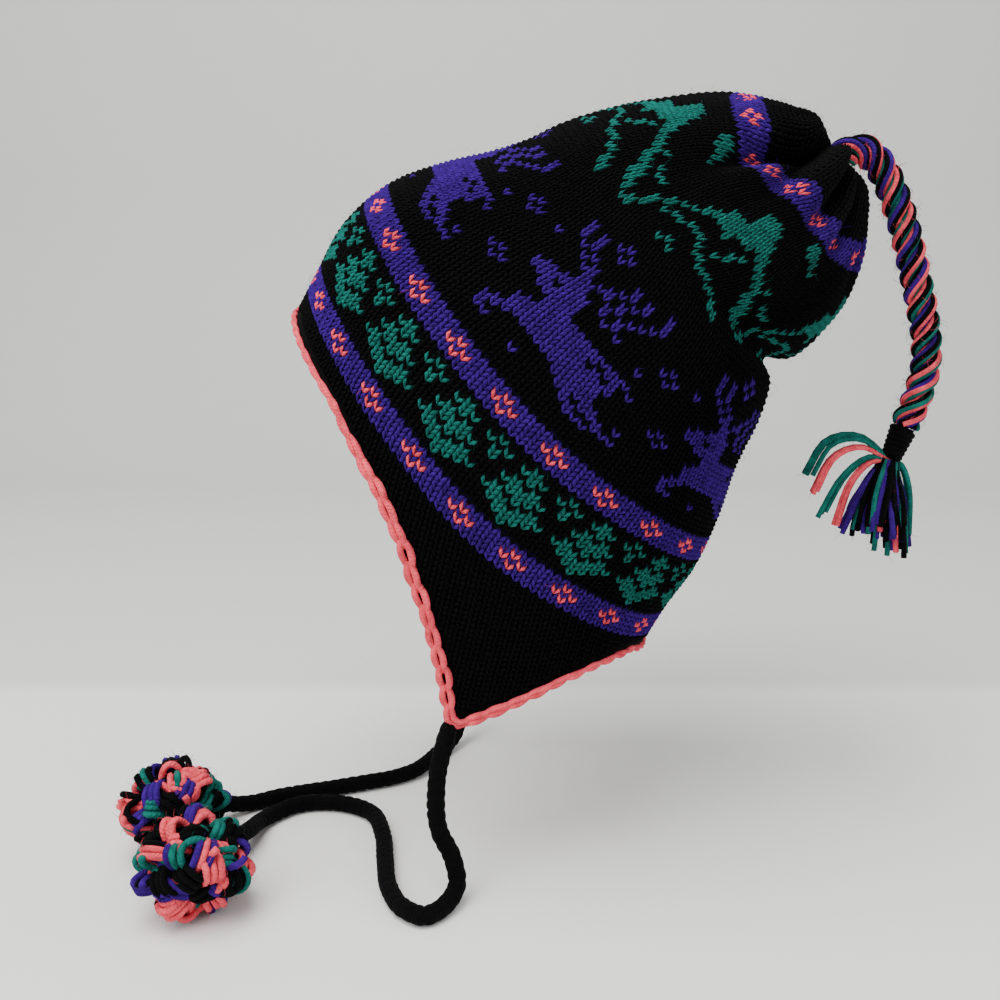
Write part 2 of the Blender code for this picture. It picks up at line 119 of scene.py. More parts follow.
# Cords, pompoms and tassel, as the parts have them
FLOOR = -273.7 * MM
TIE_DIAMETER = 7 * MM
POMPOM_RADIUS = 22 * MM
POMPOM_SEAT = 0.78
POMPOM_LEFT = (80 * MM, -101 * MM, FLOOR + POMPOM_RADIUS)
POMPOM_RIGHT = (37 * MM, -121 * MM, FLOOR + POMPOM_RADIUS)
TIE_LIE = FLOOR + 0.55 * TIE_DIAMETER
TIE_LEFT_ROUTE = (
    (0.0690, -0.0118, -0.2282), (0.0700, -0.0110, -0.2462), (0.0705, -0.0058, -0.2582),
    (0.0742, -0.0042, -0.2662), (0.0823, -0.0084, TIE_LIE), (0.0890, -0.0158, TIE_LIE),
    (0.0840, -0.0238, TIE_LIE), (0.0724, -0.0298, TIE_LIE), (0.0510, -0.0339, TIE_LIE),
    (0.0317, -0.0368, TIE_LIE), (0.0120, -0.0445, TIE_LIE), (0.0040, -0.0588, TIE_LIE),
    (0.0050, -0.0765, TIE_LIE), (0.0170, -0.0885, TIE_LIE), (0.0380, -0.0920, -0.2647),
)
TIE_RIGHT_ROUTE = (
    (-0.0690, -0.0103, -0.2282), (-0.0700, -0.0095, -0.2442), (-0.0695, -0.0080, -0.2572),
    (-0.0650, -0.0095, -0.2662), (-0.0570, -0.0135, TIE_LIE), (-0.0480, -0.0180, TIE_LIE),
    (-0.0375, -0.0225, TIE_LIE), (-0.0275, -0.0285, TIE_LIE), (-0.0205, -0.0380, TIE_LIE),
    (-0.0160, -0.0490, TIE_LIE), (-0.0115, -0.0610, TIE_LIE), (-0.0070, -0.0740, TIE_LIE),
    (-0.0020, -0.0870, TIE_LIE), (0.0040, -0.0985, TIE_LIE), (0.0120, -0.1075, -0.2662),
)
TOP_CORD_DIAMETER = 12 * MM
TOP_CORD_SEAT = 4.2 * MM  # above the middle of the gathered row
GATHERED_ROW = 94.2
TOP_CORD_ROUTE = (
    (0, 0.1493, 0.0064), (0, 0.1545, 0.0066), (0, 0.1598, 0.0028), (0, 0.1650, -0.0047),
    (0, 0.1695, -0.0142), (0, 0.1739, -0.0257), (0, 0.1781, -0.0394), (0, 0.1821, -0.0532),
    (0, 0.1853, -0.0672), (0, 0.1858, -0.0794), (0, 0.1832, -0.0917), (0, 0.1795, -0.1020),
)
BINDING_LONG = 15 * MM
BINDING_TOP = 11 * MM
BINDING_FOOT = 8.5 * MM
TASSEL_LONG = 35 * MM

# Knitting
STITCHES = 136  # round the cap
KNIT_ROWS = 102  # from the rim to the gathered top
RIM_ROWS = 3  # plain rows below the lowest stripe
ROW_HEIGHT = 2.15 * MM  # in the flaps
STITCH_WIDTH = 4.08 * MM
YARN_UV = 2 * MM  # of yarn to one unit of its map
MEASURED_ROW = 20.0  # of the table of sections, where the stitches are evenly wide
NAPE_STITCH = -112  # first stitch after the join at the nape
# Where knitted rows lie on the table of sections: the row, then its place at seven shares of the way from
# the forehead to the nape.
PLACE_SHARES = (0, 0.088, 0.176, 0.265, 0.353, 0.441, 0.5)
PLACE_STEPS = 64
ROW_PLACES = (
    (3, 3.4, 3.2, 2.2, 0.5, 1.0, 1.5, 1.7),
    (23, 21.0, 19.9, 18.6, 17.3, 17.3, 17.5, 17.6),
    (30, 27.0, 26.0, 24.5, 23.1, 22.8, 23.0, 23.1),
    (52, 45.8, 45.0, 43.4, 41.9, 40.8, 40.6, 40.6),
    (61, 55.0, 54.0, 52.3, 51.4, 51.0, 51.0, 51.0),
    (82, 79.0, 74.5, 71.0, 72.5, 74.0, 79.0, 80.0),
    (102, 95.0, 95.0, 95.0, 95.0, 95.0, 95.0, 95.0),
)
# How far stitch 0 stands round the cap from the forehead, in stitches: its wale leans.
WALE_LEAN = (
    (-30, 42.2), (5, 41.8), (23, 42.9), (30, 43.3), (52, 43.3), (61, 43.5), (82, 44.8), (102, 45.0),
)
TUCK = 1.1  # how many more stitches hide in a full crease than lie beside it
LOOSEST = 0.2  # on a ridge
CLOTH_COLUMNS = 4  # steps of the cloth's table in a stitch
CLOTH_ROWS = 2  # and in a row
LOWEST_ROW = -34  # past the flaps' tips

# Stitch legs, in shares of a stitch and of a row
LEG_OUT = (0.07, 0.27, 0.40)  # from the middle of the stitch at foot, middle and tip
LEG_UP = (-0.75, 0.0, 0.92)  # rows
LEG_HALF_WIDTH = (0.12, 0.205, 0.045)
LEG_HEIGHT = (-0.45 * MM, 0.25 * MM, -0.55 * MM)
LEG_HALF_THICK = (0.40 * MM, 0.80 * MM, 0.42 * MM)
LEG_UNEVEN = (0.018, 0.03, 0.05 * MM)  # sideways, upward and outward
THINNEST_LEG = 0.35  # where stitches crowd
LOWEST_STITCH = 0.985  # share of the way down to the edge, which covers what would be lower
BACKING_DEEP = 0.9 * MM  # behind the knitted face
FLOAT_THICK = 0.5 * MM
FLAP_RINGS = 22  # of the backing, from the rim's edge to the first row
KNIT_BANDS = (("knit_rim", -33, 21), ("knit_deer", 21, 55), ("knit_figures", 55, 85), ("knit_top", 85, 101))

# Yarns and charts, with a letter for each coloured stitch
BLACK, PURPLE, TEAL, CORAL = range(4)
MIXED = (CORAL, TEAL, PURPLE, BLACK)  # the order of the shares below
YARN_NAMES = ("black yarn", "purple yarn", "teal yarn", "coral yarn")
YARN_HEX = ("#040405", "#350E71", "#12655B", "#F8525F")
YARN_SHEEN = (0.03, 0.09, 0.09, 0.12)
DYE_SCALE = 260.0  # to the metre: patches of 4 mm
FIBRE_SCALE = 1100.0  # to the metre: tufts of 1 mm
STRIPES = (3, 21, 80)  # first row of each purple stripe
STRIPE_ROWS = 5
FLOWER_MIDDLES = (4, 1, 0)  # a stitch in the middle of a flower in each stripe
FLOWER_REPEAT = 6
PAW_FIRST_ROW = 9
PAW_LEFT = 0  # stitch of the chart's first column
PAW = (
    "...T...T",
    "T.TTT.T.",
    "...T...T",
    "..T.T..T",
    ".TTTTT..",
    "..TTT...",
    ".T.T.T..",
    "TTT.TTT.",
    ".TTTTT..",
    "..TTT...",
    "...T....",
)
DEER_FIRST_ROW = 30
DEER_LEFT = -25
DEER = (
    "...........P............",
    "..........P.P...........",
    "......P.P..P........P...",
    "......P.P......P.P..P...",
    "......P.P......P.P..P...",
    ".......P.P....P.P..P....",
    "........P.P..P.P..P.....",
    "P...P....PP.PP.P.P......",
    ".P........PP..P.P......P",
    "P.........PP..P.P.......",
    ".........PPPP..P.P......",
    ".......PPPPPP........P..",
    "......PPP.PPP...........",
    "......PPPPPPP...........",
    "........PPPPPPPPPPPPPP..",
    "..........PPPPPPPP.PP.P.",
    "...P......PPPPPPP.P.P...",
    "..P.P....PPPPPPPPPPPP...",
    "...P....PPPPPPPPPPPP....",
    "........PPPPPPPPPPPP....",
    "........PPPPPPPPPPPP....",
    ".......PP......PPPPPP..P",
    "......PP........PP.PPP..",
    "......P..........PP..PPP",
    "......PP...P......PPP...",
)
FIGURE_FIRST_ROW = 57
FIGURE_LEFT = -19
FIGURE = (
    ".................TT.....",
    ".................TTT....",
    "..................TTT...",
    "..........TTT.......T...",
    "..........TTTT.......T..",
    "..........TTTT..........",
    "..........TTTTT.........",
    ".......TTTTTTTT.........",
    ".......TTTTTTTTT........",
    "......TTTTTTT.TT........",
    ".....TTTTT.....TT.......",
    ".....T...T...T..TT.T....",
    "....T.......T....TT.....",
    "...T........T.....T..T..",
    "..T...TTT..T......TT..TT",
    "..T.TT...T.........TT...",
    ".T.T......TT........TT..",
    ".T..........TTT.....TT..",
    ".T.....T.......TT....TT.",
    "T.....T.T........T....T.",
    "T................TT....T",
    "..................T.....",
)

# Crochet edge
CHAIN_PITCH = 8.4 * MM
CHAIN_REACH = 1.42  # pitches from a loop's start to its end, inside the next loop
CHAIN_YARN = 1.35 * MM  # radius
CHAIN_HALF_WIDTH = 1.6 * MM
# How wide the chain lies open from the forehead to the nape: a tight line but for the flaps' front edges.
CHAIN_OPEN = (
    (0, 0.22), (0.11, 0.25), (0.16, 0.5), (0.21, 0.95), (0.27, 1.15),
    (0.29, 0.9), (0.33, 0.5), (0.43, 0.3), (0.5, 0.25),
)

# Ties
TIE_TUCK = 5 * MM  # how far a tie runs up into the edge
TIE_SWELL = 9 * MM  # from its thin start to its full thickness
TIE_TWIST = 60 * MM  # to one turn of its wales
TIE_WALES = 5
TIE_STITCH = 4.2 * MM
TIE_RINGS, TIE_SIDES = 300, 24

# Pompoms
POMPOM_LOOPS = 66
POMPOM_STRANDS = 3  # side by side in each loop
POMPOM_ENDS = 18
POMPOM_YARN = 1.35 * MM  # radius
POMPOM_CORE = 0.6  # share of the radius
POMPOM_FIBRES = 900
POMPOM_SLUMP = 0.9  # how far its own weight flattens it
POMPOM_SHARES = (0.28, 0.20, 0.22, 0.30)  # coral, teal, purple, black

# Top cord, its binding and its tassel
CORD_PLIES = 3
CORD_YARNS_EACH = 7
CORD_YARN = 1.2 * MM  # radius
CORD_PITCH = 22 * MM
YARN_PITCH = 48.4 * MM  # of each yarn round its ply
PLY_OUT, YARN_OUT = 0.26, 0.165  # shares of the cord's diameter
CORD_STEPS = 140
CORD_FIBRES = 1400
CORD_COLOURS = (
    CORAL, TEAL, CORAL, PURPLE, BLACK, TEAL, BLACK,
    TEAL, CORAL, BLACK, PURPLE, CORAL, BLACK, PURPLE,
    BLACK, PURPLE, CORAL, TEAL, BLACK, CORAL, TEAL,
)
BINDING_TURNS = 6
BINDING_YARN = 1.4 * MM  # radius
TASSEL_STRANDS = 120
TASSEL_YARN = 1.05 * MM  # radius
TASSEL_HANG = 13 * MM  # how far the hanging strands spread from the middle
TASSEL_SHARES = (0.10, 0.13, 0.23, 0.54)  # coral, teal, purple, black
TASSEL_FIBRES = 900
# Strands that arch out of the tassel: yarn, then millimetres forward and up at thirds of their length.
TASSEL_ARCS = (
    (TEAL, 13, 10, 27, 8, 35, -6),
    (CORAL, 13, 6, 25, 1, 32, -14),
    (TEAL, 10, 1, 20, -8, 28, -24),
    (CORAL, 9, -1, 17, -11, 22, -29),
    (PURPLE, 6, -5, 12, -16, 18, -31),
    (TEAL, -6, -3, -10, -15, -11, -33),
    (PURPLE, -4, -7, -8, -19, -9, -31),
)
ARC_STRANDS = 3

# Loose fibres
KNIT_FIBRES = 3200
KNIT_FIBRE = 0.05 * MM  # radius
TRIM_FIBRE = 0.09 * MM
LOWEST_FIBRE = -26  # row, in the flaps
FIBRE_SHARE = 0.97  # of the way down to the edge
FIBRE_CHANCE = 0.62  # share of the tried places that are kept
FIBRE_STEPS = 4

# Camera, backdrop and lights
CAMERA_PLACE = (0.440, 0.012, -0.0402)
CAMERA_TURN = (78, 0, 90)  # degrees
CAMERA_LENS = 38.592  # mm, on a sensor 36 mm wide
BACKDROP_FRONT, BACKDROP_MIDDLE = 1.2, 0.3
BACKDROP_HALF, BACKDROP_TOP = 1.8, 1.6
BACKDROP_FOOT = -0.75
BACKDROP_BEND = 0.35
TABLE_EDGE = -0.142
TABLE_BLUR = 0.012
# Painted light on the paper: the table's lighter tone stands for the top light falling on it, and the wall's
# darker tone is painted shade.
WALL_SHADE_HEX = "#D6D6D3"
TABLE_LIT_HEX = "#EBEAE7"
LIGHTS = (  # place, turn in degrees, watts and size
    ("top light", (0.35, -0.25, 1.05), (18, 16, 0), 25.0, 1.0),
    ("side light", (0.9, -0.75, 0.45), (64, 0, 50), 8.0, 0.9),
    ("back light", (0.1, 1.1, 0.6), (-62, 0, 0), 4.0, 0.8),
)
SKY = (0.82, 0.84, 0.86, 1)
SKY_STRENGTH = 0.72

SEED = 11


def unit(way):
    """Directions of length 1."""
    return way / np.maximum(np.linalg.norm(way, axis=-1, keepdims=True), 1e-12)


def circle(turn, side, other):
    """Directions at an angle from one direction towards another that is square to it."""
    return np.cos(turn)[..., None] * side + np.sin(turn)[..., None] * other


def run_along(path):
    """Distance from a path's start to each of its points."""
    return np.concatenate([[0], np.cumsum(np.linalg.norm(np.diff(path, axis=0), axis=1))])


def from_table(at, table):
    """Straight lines between a table's pairs."""
    return np.interp(at, [line[0] for line in table], [line[1] for line in table])


def mirrored(share):
    """Share of the way from the forehead to the nape on either side, from a share of the whole way round."""
    return np.minimum(share % 1, 1 - share % 1)


def smooth(at, knots, values):
    """Cubic curve through the knots, with slopes taken from each knot's two neighbours."""
    knots = np.asarray(knots, float)
    values = np.asarray(values, float)
    slopes = np.gradient(values, knots)
    at = np.clip(np.asarray(at, float), knots[0], knots[-1])
    left = np.clip(np.searchsorted(knots, at, side="right") - 1, 0, len(knots) - 2)
    span = knots[left + 1] - knots[left]
    share = (at - knots[left]) / span
    return (
        values[left] * (1 + 2 * share) * (1 - share) ** 2
        + slopes[left] * span * share * (1 - share) ** 2
        + values[left + 1] * share**2 * (3 - 2 * share)
        + slopes[left + 1] * span * share**2 * (share - 1)
    )


def section(column, row):
    """One column of the table of sections at any row."""
    place = SECTION_COLUMNS.index(column)
    return smooth(row, [line[0] for line in SECTIONS], [line[place] for line in SECTIONS])


def power_wave(wave, power):
    """Keep a sine or cosine's sign while making its curve squarer."""
    return np.sign(wave) * np.abs(wave) ** power


def base_surface(around, row):
    """The shell without its pleats: a squarish ellipse round the cap's long line at each row.

    Each row's loop runs through a front and a back point of the outline, and its sides dip to the rim.
    """
    angle = 2 * math.pi * around
    across = power_wave(np.cos(angle), SECTION_POWER)
    side = power_wave(np.sin(angle), SECTION_POWER)
    front_up = section("front_up", row) * CROWN_LONG
    back_up = section("back_up", row) * CROWN_LONG
    front_out = -section("front_out", row) * RIM_LONG / 2
    back_out = section("back_out", row) * RIM_LONG / 2
    up = (front_up + back_up) / 2 + (front_up - back_up) / 2 * across
    up = up - section("dip", row) * ROW_DIP * np.sin(angle) ** 2
    out = (front_out + back_out) / 2 + (front_out - back_out) / 2 * across
    wide = np.maximum(section("width", row) * HEAD_WIDTH / 2, 0)
    rise, run = math.sin(CROWN_RISE), math.cos(CROWN_RISE)
    return np.stack(
        [wide * side, RIM_MIDDLE[0] + run * up + rise * out, RIM_MIDDLE[1] + rise * up - run * out], axis=-1
    )


def bump_share(share):
    """A smooth hill that is 1 at 0 and 0 at 1 and past it."""
    return np.cos(np.clip(np.abs(share), 0, 1) * math.pi / 2) ** 2


def creasing(around, row):
    """How deep the creases are, as a share of CREASE_DEPTH: a valley along each line of the table.

    A valley is deepest two thirds of the way up its rows and falls off sideways as a bell curve.
    """
    deep = np.zeros(np.broadcast(around, row).shape)
    for crease in CREASES:
        line = dict(zip(CREASE_COLUMNS, crease))
        middle_row = (line["first_row"] + 2 * line["last_row"]) / 3
        half = np.where(row < middle_row, middle_row - line["first_row"], line["last_row"] - middle_row)
        wander = line["around"] + line["drift"] * (row - line["first_row"]) / SHAPE_ROWS
        near = (around - wander + 0.5) % 1 - 0.5
        reach = bump_share((row - middle_row) / half)
        deep = deep + line["depth"] * reach * np.exp(-((near / line["spread"]) ** 2))
    return deep


def relief(around, row):
    """How far the gathered fabric stands out of the smooth shell: pleats, less the creases and the waist."""
    start, top, end = PLEAT_ROWS
    swell = bump_share((row - top) / np.where(row < top, top - start, end - top))
    height = PLEAT_HEIGHT * swell * np.cos(2 * math.pi * PLEATS * around)
    height = height - CREASE_DEPTH * creasing(around, row)
    height = height * np.clip((SHAPE_ROWS - row) / (SHAPE_ROWS - top), 0, 1)
    back = np.maximum(-np.cos(2 * math.pi * around), 0) ** 3
    return height - WAIST_FOLD * back * np.exp(-(((row - WAIST_ROW) / WAIST_SPREAD) ** 2))


def flap_drop(around):
    """Share of the flap's length by which the rim hangs down, the same on both sides."""
    return from_table(mirrored(around), FLAP_EDGE)


def rim_points(around):
    """The cap's lower edge, with its two flaps: the shell's first row, let down, forward and inward."""
    rim = base_surface(around, np.zeros(np.shape(around)))
    drop = flap_drop(around)
    rim[..., 1] -= drop * FLAP_LONG * math.sin(FLAP_LEAN)
    rim[..., 2] -= drop * FLAP_LONG * math.cos(FLAP_LEAN)
    rim[..., 0] -= np.sign(rim[..., 0]) * drop**1.5 * FLAP_PINCH
    return rim


def place_table():
    """Rows of the table of sections for each knitted row and share of the way round, as a grid."""
    knots, *columns = zip(*ROW_PLACES)
    rows = np.arange(KNIT_ROWS + 1)
    at_shares = np.stack([smooth(rows, knots, column) for column in columns], axis=1)
    shares = np.linspace(0, 0.5, PLACE_STEPS + 1)
    return np.stack([smooth(shares, PLACE_SHARES, line) for line in at_shares])


PLACES = place_table()


def grid_lookup(table, row, column):
    """Value between the points of a grid, from the four around it."""
    low = np.clip(np.floor(row).astype(int), 0, table.shape[0] - 2)
    left = np.clip(np.floor(column).astype(int), 0, table.shape[1] - 2)
    up = np.clip(row - low, 0, 1)
    over = np.clip(column - left, 0, 1)
    if table.ndim == 3:
        up, over = up[..., None], over[..., None]
    return (table[low, left] * (1 - over) + table[low, left + 1] * over) * (1 - up) + (
        table[low + 1, left] * (1 - over) + table[low + 1, left + 1] * over
    ) * up


def shape_row(share, row):
    """Row of the table of sections where a knitted row lies, at a share of the way round."""
    share, row = np.broadcast_arrays(mirrored(share), np.maximum(row, RIM_ROWS))
    return grid_lookup(PLACES, row, share * 2 * PLACE_STEPS)


def cloth_table():
    """The knitted face as a grid of points, normals, stitch widths and shares of the way down to the edge.

    Stitches are as wide as the cloth's loop at one row allows, and more of them tuck into the creases. Below
    the stripes each wale hangs straight down into the rim or a flap, and curves in as the flap is pinched.
    """
    fine = np.linspace(0, 1, 1025)
    loop = base_surface(fine, np.full(fine.shape, MEASURED_ROW))
    step = np.linalg.norm(np.diff(loop, axis=0), axis=1)
    rows = np.arange(LOWEST_ROW * CLOTH_ROWS, KNIT_ROWS * CLOTH_ROWS + 1) / CLOTH_ROWS
    columns = np.arange(STITCHES * CLOTH_COLUMNS + 1) / CLOTH_COLUMNS
    plain = np.concatenate([[0], np.cumsum(step)]) / step.sum()
    angles = []
    for row in rows:
        hidden = np.maximum(creasing(fine[1:], shape_row(plain[1:], row)), -LOOSEST)
        weight = step * (1 + TUCK * hidden)
        arc = np.concatenate([[0], np.cumsum(weight)]) / weight.sum()
        angles.append(np.interp(columns / STITCHES, arc, fine))
    around = np.stack(angles)
    row_grid = np.broadcast_to(rows[:, None], around.shape)
    share = np.interp(around, fine, plain)
    shape = shape_row(share, row_grid)
    points = base_surface(around, shape)
    points = points + surface_normals(points) * relief(around, shape)[..., None]
    foot = base_surface(around, shape_row(share, RIM_ROWS))
    rim = rim_points(around)
    down = np.maximum((RIM_ROWS - row_grid) * ROW_HEIGHT / np.linalg.norm(rim - foot, axis=-1), 0)
    hanging = foot + (rim - foot) * down[..., None]
    hanging[..., 0] = foot[..., 0] + (rim[..., 0] - foot[..., 0]) * down**1.5
    points = np.where(row_grid[..., None] < RIM_ROWS, hanging, points)
    width = np.linalg.norm(np.gradient(points, axis=1), axis=-1) * CLOTH_COLUMNS
    return {
        "points": points,
        "normals": surface_normals(points),
        "width": width[..., None],
        "share": down[..., None],
    }


def surface_normals(grid):
    """Outward directions of a grid that closes on itself sideways: its way round times its way up."""
    ring = grid[:, :-1]
    along = np.roll(ring, -1, axis=1) - np.roll(ring, 1, axis=1)
    along = np.concatenate([along, along[:, :1]], axis=1)
    return unit(np.cross(along, np.gradient(grid, axis=0)))


CLOTH = cloth_table()


def on_cloth(name, stitch, row):
    """Look up the knitted face at any stitch and row."""
    column = ((stitch + from_table(row, WALE_LEAN)) % STITCHES) * CLOTH_COLUMNS
    return grid_lookup(CLOTH[name], (row - LOWEST_ROW) * CLOTH_ROWS, column)


def chart_colours(stitch, row, colours, chart, letter, colour, first_row, left):
    """Knit one chart, repeated round the cap, into an array of yarn numbers."""
    high, wide = len(chart), len(chart[0])
    marks = np.array([[mark == letter for mark in line] for line in reversed(chart)])
    inside = (row >= first_row) & (row < first_row + high)
    level = np.clip(row - first_row, 0, high - 1)
    hit = inside & marks[level, (stitch - left) % wide]
    return np.where(hit, colour, colours)


def yarn_of(stitch, row):
    """Yarn of each stitch: purple stripes with coral flowers, teal paws, purple deer and teal figures."""
    colours = np.full(np.broadcast(stitch, row).shape, BLACK)
    for first, flower in zip(STRIPES, FLOWER_MIDDLES):
        level = row - first
        inside = (level >= 0) & (level < STRIPE_ROWS)
        colours = np.where(inside, PURPLE, colours)
        place = (stitch - flower + FLOWER_REPEAT // 2) % FLOWER_REPEAT - FLOWER_REPEAT // 2
        petal = ((place == 0) & ((level == 1) | (level == 3))) | ((np.abs(place) == 1) & (level == 2))
        colours = np.where(inside & petal, CORAL, colours)
    colours = chart_colours(stitch, row, colours, PAW, "T", TEAL, PAW_FIRST_ROW, PAW_LEFT)
    colours = chart_colours(stitch, row, colours, DEER, "P", PURPLE, DEER_FIRST_ROW, DEER_LEFT)
    return chart_colours(stitch, row, colours, FIGURE, "T", TEAL, FIGURE_FIRST_ROW, FIGURE_LEFT)


def linear(hex_colour):
    """Turn an sRGB hex colour into linear red, green and blue."""
    parts = [int(hex_colour[k : k + 2], 16) / 255 for k in (1, 3, 5)]
    return tuple(part / 12.92 if part <= 0.04045 else ((part + 0.055) / 1.055) ** 2.4 for part in parts)


def add_node(tree, kind, inputs=None, **settings):
    """Add one shader node, set its properties and fill or link its inputs."""
    node = tree.nodes.new(kind)
    for name, value in settings.items():
        setattr(node, name, value)
    for name, value in (inputs or {}).items():
        if isinstance(value, bpy.types.NodeSocket):
            tree.links.new(value, node.inputs[name])
        else:
            node.inputs[name].default_value = value
    return node


def yarn_material(name, hex_colour, sheen):
    """Soft spun acrylic: matt, with twisted plies, fine fibres on the surface and a slightly uneven dye."""
    made = bpy.data.materials.new(name)
    made.use_nodes = True
    tree = made.node_tree
    surface = tree.nodes["Principled BSDF"]
    colour = np.array(linear(hex_colour))
    place = add_node(tree, "ShaderNodeTexCoord").outputs["Object"]
    along = add_node(tree, "ShaderNodeUVMap", uv_map="yarn").outputs["UV"]
    # The plies cross the yarn every 1.4 mm. Fibres of 1 mm are coarser than real ones, so that they show.
    dye = add_node(tree, "ShaderNodeTexNoise", {"Vector": place, "Scale": DYE_SCALE, "Detail": 3.0})
    fibres = add_node(tree, "ShaderNodeTexNoise", {"Vector": place, "Scale": FIBRE_SCALE, "Detail": 5.0})
    plies = add_node(
        tree, "ShaderNodeTexWave", {"Vector": along, "Scale": 0.9, "Distortion": 1.2, "Detail": 1.0},
        bands_direction="DIAGONAL",
    )
    ramp = add_node(tree, "ShaderNodeValToRGB", {"Fac": dye.outputs["Fac"]})
    for stop, (position, strength) in zip(ramp.color_ramp.elements, ((0.30, 0.62), (0.72, 1.22))):
        stop.position = position
        stop.color = (*np.minimum(colour * strength, 1), 1)
    twist = add_node(
        tree, "ShaderNodeBump", {"Height": plies.outputs["Fac"], "Strength": 0.55, "Distance": 0.35 * MM}
    )
    fluff = add_node(
        tree, "ShaderNodeBump",
        {"Height": fibres.outputs["Fac"], "Normal": twist.outputs["Normal"],
         "Strength": 0.8, "Distance": 0.7 * MM},
    )
    tree.links.new(ramp.outputs["Color"], surface.inputs["Base Color"])
    tree.links.new(fluff.outputs["Normal"], surface.inputs["Normal"])
    surface.inputs["Roughness"].default_value = 0.88
    surface.inputs["Specular IOR Level"].default_value = 0.07
    surface.inputs["Sheen Weight"].default_value = sheen
    surface.inputs["Sheen Roughness"].default_value = 0.45
    surface.inputs["Sheen Tint"].default_value = (*np.minimum(0.1 + 2 * colour, 1), 1)
    return made


def make_object(name, points, faces, finishes, finish_of=None, uv=None):
    """Build an object from arrays: points, a list of face arrays, and a material number for each face."""
    mesh = bpy.data.meshes.new(name)
    points = np.asarray(points, float)
    mesh.vertices.add(len(points))
    mesh.vertices.foreach_set("co", points.ravel())
    corners = np.concatenate([part.ravel() for part in faces])
    sizes = np.concatenate([np.full(len(part), part.shape[1]) for part in faces])
    mesh.loops.add(len(corners))
    mesh.loops.foreach_set("vertex_index", corners.astype(np.int32))
    mesh.polygons.add(len(sizes))
    starts = np.concatenate([[0], np.cumsum(sizes)[:-1]])
    mesh.polygons.foreach_set("loop_start", starts.astype(np.int32))
    mesh.polygons.foreach_set("loop_total", sizes.astype(np.int32))
    for finish in finishes:
        mesh.materials.append(finish)
    if finish_of is not None:
        mesh.polygons.foreach_set("material_index", np.concatenate(finish_of).astype(np.int32))
    layer = mesh.uv_layers.new(name="yarn")
    if uv is not None:
        layer.data.foreach_set("uv", np.asarray(uv, float)[corners].ravel())
    mesh.update(calc_edges=True)
    mesh.validate()
    mesh.shade_smooth()
    piece = bpy.data.objects.new(name, mesh)
    bpy.context.scene.collection.objects.link(piece)
    return piece


def grid_quads(rings, columns, closed=True):
    """Quads of a ring grid, as an array of corner numbers."""
    ring = np.arange(rings - 1)[:, None]
    column = np.arange(columns if closed else columns - 1)[None, :]
    after = (column + 1) % columns
    low, high = ring * columns, (ring + 1) * columns
    return np.stack([low + column, low + after, high + after, high + column], axis=-1).reshape(-1, 4)


def grid_uv(across, along):
    """Yarn places of a grid, from one row of places and one column of them."""
    across, along = np.broadcast_arrays(across, along)
    return np.stack([across, along], axis=-1).reshape(-1, 2)


def tubes(lines, radii, sides):
    """Points, faces and yarn places of many closed tubes at once.

    Each tube follows its own line of points. Its sections are regular polygons square to the line, carried
    along it with as little turn as they can, and each end is one flat face.
    """
    lines = np.asarray(lines, float)
    count, rings = lines.shape[:2]
    radii = np.broadcast_to(np.asarray(radii, float), (count, rings))
    tangent = unit(np.gradient(lines, axis=1))
    side = np.cross(np.eye(3)[np.argmin(np.abs(tangent[:, 0]), axis=1)], tangent[:, 0])
    carried = []
    for ring in range(rings):
        way = tangent[:, ring]
        side = unit(side - way * (side * way).sum(axis=1, keepdims=True))
        carried.append(side)
    side = np.stack(carried, axis=1)
    other = np.cross(tangent, side)
    angle = 2 * math.pi * np.arange(sides) / sides
    spoke = circle(angle, side[:, :, None, :], other[:, :, None, :])
    points = lines[:, :, None, :] + radii[:, :, None, None] * spoke
    first = (np.arange(count) * rings * sides)[:, None, None]
    quads = (grid_quads(rings, sides)[None] + first).reshape(-1, 4)
    start_caps = (np.arange(sides)[::-1][None] + first[:, :, 0]).reshape(-1, sides)
    end_caps = ((rings - 1) * sides + np.arange(sides)[None] + first[:, :, 0]).reshape(-1, sides)
    step = np.linalg.norm(np.diff(lines, axis=1), axis=-1)
    run = np.concatenate([np.zeros((count, 1)), np.cumsum(step, axis=1)], axis=1)
    uv = grid_uv(angle / math.pi, run[:, :, None] / YARN_UV)
    return points.reshape(-1, 3), [quads, start_caps, end_caps], uv


def dress(piece, nodes):
    """Ride on the one body and stand for the named parts."""
    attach(piece, "root")
    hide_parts(*nodes)
    return piece


def yarn_piece(name, lines, radii, sides, colours, yarns, node):
    """One piece of many closed tubes, each tube in its own yarn."""
    points, faces, uv = tubes(lines, radii, sides)
    finish_of = [np.repeat(colours, len(part) // len(lines)) for part in faces]
    return dress(make_object(name, points, faces, yarns, finish_of, uv), [node])


def stitch_list(first_row, last_row):
    """Stitch and row numbers of a band of knitting, without the stitches past the rim's edge."""
    stitch, row = np.meshgrid(np.arange(NAPE_STITCH, NAPE_STITCH + STITCHES), np.arange(first_row, last_row))
    stitch, row = stitch.ravel(), row.ravel()
    inside = on_cloth("share", stitch, row)[:, 0] < LOWEST_STITCH
    return stitch[inside], row[inside]


